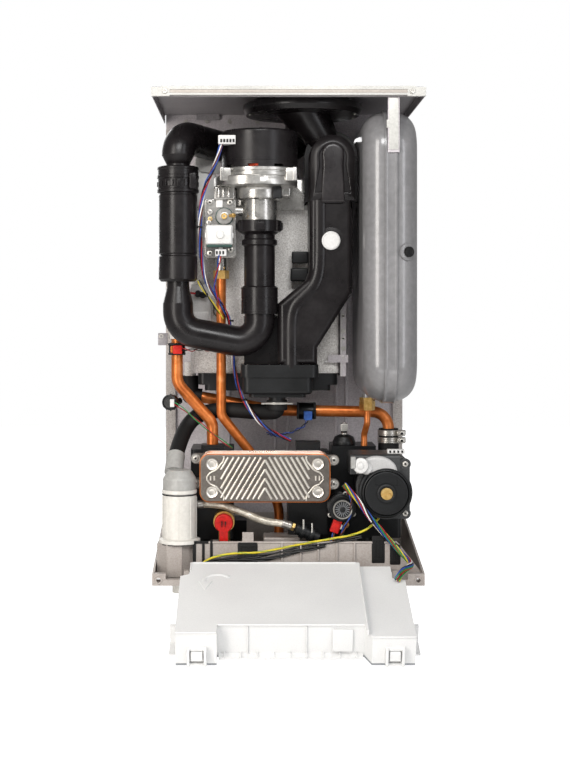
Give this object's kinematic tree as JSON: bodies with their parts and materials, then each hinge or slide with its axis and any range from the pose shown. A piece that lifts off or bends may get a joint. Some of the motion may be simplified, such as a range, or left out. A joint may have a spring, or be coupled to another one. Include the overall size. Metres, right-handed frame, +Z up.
{
  "type": "combi boiler",
  "caption": "Wall-hung condensing combi boiler with its casing off and its control box hinged down, with fan, flue, heat exchangers, vessel, pump and piping.",
  "frame": {"origin": "on the wall plane, at the middle of the boiler's width, at the underside of the base tray", "axes": "+X to the right seen from the front, +Y into the wall, +Z up; the viewer stands at -Y"},
  "size_m": [0.402, 0.4631, 0.8223],
  "materials": {
    "black_rubber": "matt black rubber",
    "board_green": "circuit board",
    "box_white": "white moulded ABS",
    "braid_steel": "braided stainless wire over hose",
    "brass": "machined brass",
    "cast_aluminium": "bright die-cast aluminium",
    "copper": "drawn copper tube",
    "duct_black": "satin black moulded polypropylene",
    "exchanger_coating": "grainy cast and coated aluminium",
    "frame_steel": "satin grey-mauve coated sheet steel",
    "grey_polymer": "grey moulded plastic",
    "hydraulic_black": "matt black glass-filled nylon",
    "knob_red": "red moulded nylon",
    "panel_grey": "grey moulded ABS",
    "pump_steel": "dark painted pump body",
    "rail_paint": "satin white coated sheet steel",
    "screw_steel": "zinc plated steel",
    "siphon_clear": "milky moulded plastic",
    "siphon_white": "cream-white moulded plastic",
    "stainless": "pressed stainless steel",
    "valve_white": "white moulded plastic",
    "vessel_paint": "glossy blue-grey enamel",
    "vessel_rubber": "black rubber diaphragm",
    "wire_pvc": "coloured cable insulation"
  },
  "bodies": {
    "root": {"air_downpipe": "duct_black", "air_vent": "hydraulic_black", "back_plate": "frame_steel", "base_tray": "frame_steel", "brass_nuts": "brass", "burner": "stainless", "burner_hood": "cast_aluminium", "condensate_hose": "black_rubber", "condensate_sump": "hydraulic_black", "diverter_motor": "hydraulic_black", "exchanger_casing": "exchanger_coating", "exchanger_coil": "stainless", "fan_cover": "duct_black", "fan_housing": "cast_aluminium", "filling_hose": "braid_steel", "filling_valve": "hydraulic_black", "flow_pipe": "copper", "flue_adapter": "duct_black", "flue_duct": "duct_black", "flue_test_plug": "valve_white", "frame_screws": "screw_steel", "gas_pipe": "copper", "gas_solenoid": "valve_white", "gas_valve": "cast_aluminium", "hose_clamps": "screw_steel", "ignition_unit": "hydraulic_black", "left_manifold": "hydraulic_black", "lower_air_elbow": "duct_black", "plate_exchanger": "stainless", "pump_housing": "pump_steel", "pump_motor": "hydraulic_black", "return_pipe": "copper", "right_manifold": "hydraulic_black", "rubber_seals": "black_rubber", "safety_valve": "brass", "silencer": "duct_black", "siphon_cap": "siphon_clear", "siphon_cup": "siphon_white", "top_front_rail": "rail_paint", "top_panel": "frame_steel", "upper_air_elbow": "duct_black", "venturi": "cast_aluminium", "vessel_brackets": "frame_steel", "vessel_left_shell": "vessel_paint", "vessel_membrane": "vessel_rubber", "vessel_pipe": "copper", "vessel_right_shell": "vessel_paint", "water_sensors": "knob_red", "wiring_loom": "wire_pvc"},
    "fan_rotor": {"fan_rotor": "grey_polymer"},
    "pump_rotor": {"pump_rotor": "grey_polymer"},
    "pump_bleed_screw": {"pump_bleed_screw": "brass"},
    "diverter_spindle": {"diverter_spindle": "stainless"},
    "safety_knob": {"safety_knob": "knob_red"},
    "control_box": {"control_box": "box_white", "control_panel": "panel_grey", "display_board": "board_green"},
    "heating_knob": {"heating_knob": "panel_grey"},
    "hot_water_knob": {"hot_water_knob": "panel_grey"},
    "reset_button": {"reset_button": "panel_grey"}
  },
  "joints": [
    {"name": "control_box_hinge", "type": "hinge", "parent": "root", "child": "control_box", "pos_m": [0, -0.2844, 0.0151], "axis": [-1, 0, 0], "range_deg": [0, 109], "deforming": ["wiring_loom"]},
    {"name": "heating_knob_turn", "type": "hinge", "parent": "control_box", "child": "heating_knob", "pos_m": [-0.07, -0.36691, -0.05244], "axis": [0, -0.3256, 0.9455], "range_deg": [-135, 135]},
    {"name": "hot_water_knob_turn", "type": "hinge", "parent": "control_box", "child": "hot_water_knob", "pos_m": [0.075, -0.36691, -0.05244], "axis": [0, -0.3256, 0.9455], "range_deg": [-135, 135]},
    {"name": "reset_button_press", "type": "slide", "parent": "control_box", "child": "reset_button", "axis": [0, -0.3256, 0.9455], "range_m": [0, 0.0015], "stiffness_N_per_m": 300, "springref_m": -0.002},
    {"name": "safety_knob_turn", "type": "hinge", "parent": "root", "child": "safety_knob", "pos_m": [-0.096, -0.235, 0.084], "axis": [0, -1, 0], "range_deg": [0, 90]},
    {"name": "bleed_screw_turn", "type": "hinge", "parent": "root", "child": "pump_bleed_screw", "pos_m": [0.147, -0.26, 0.131], "axis": [0, -1, 0], "range_deg": [0, 180]},
    {"name": "diverter_stroke", "type": "slide", "parent": "root", "child": "diverter_spindle", "axis": [0, 1, 0], "range_m": [0, 0.008]},
    {"name": "fan_spin", "type": "hinge", "parent": "root", "child": "fan_rotor", "pos_m": [-0.042, -0.203, 0.6], "axis": [0, 0, 1], "continuous": true},
    {"name": "pump_spin", "type": "hinge", "parent": "root", "child": "pump_rotor", "pos_m": [0.147, -0.2, 0.131], "axis": [0, 1, 0], "continuous": true}
  ]
}
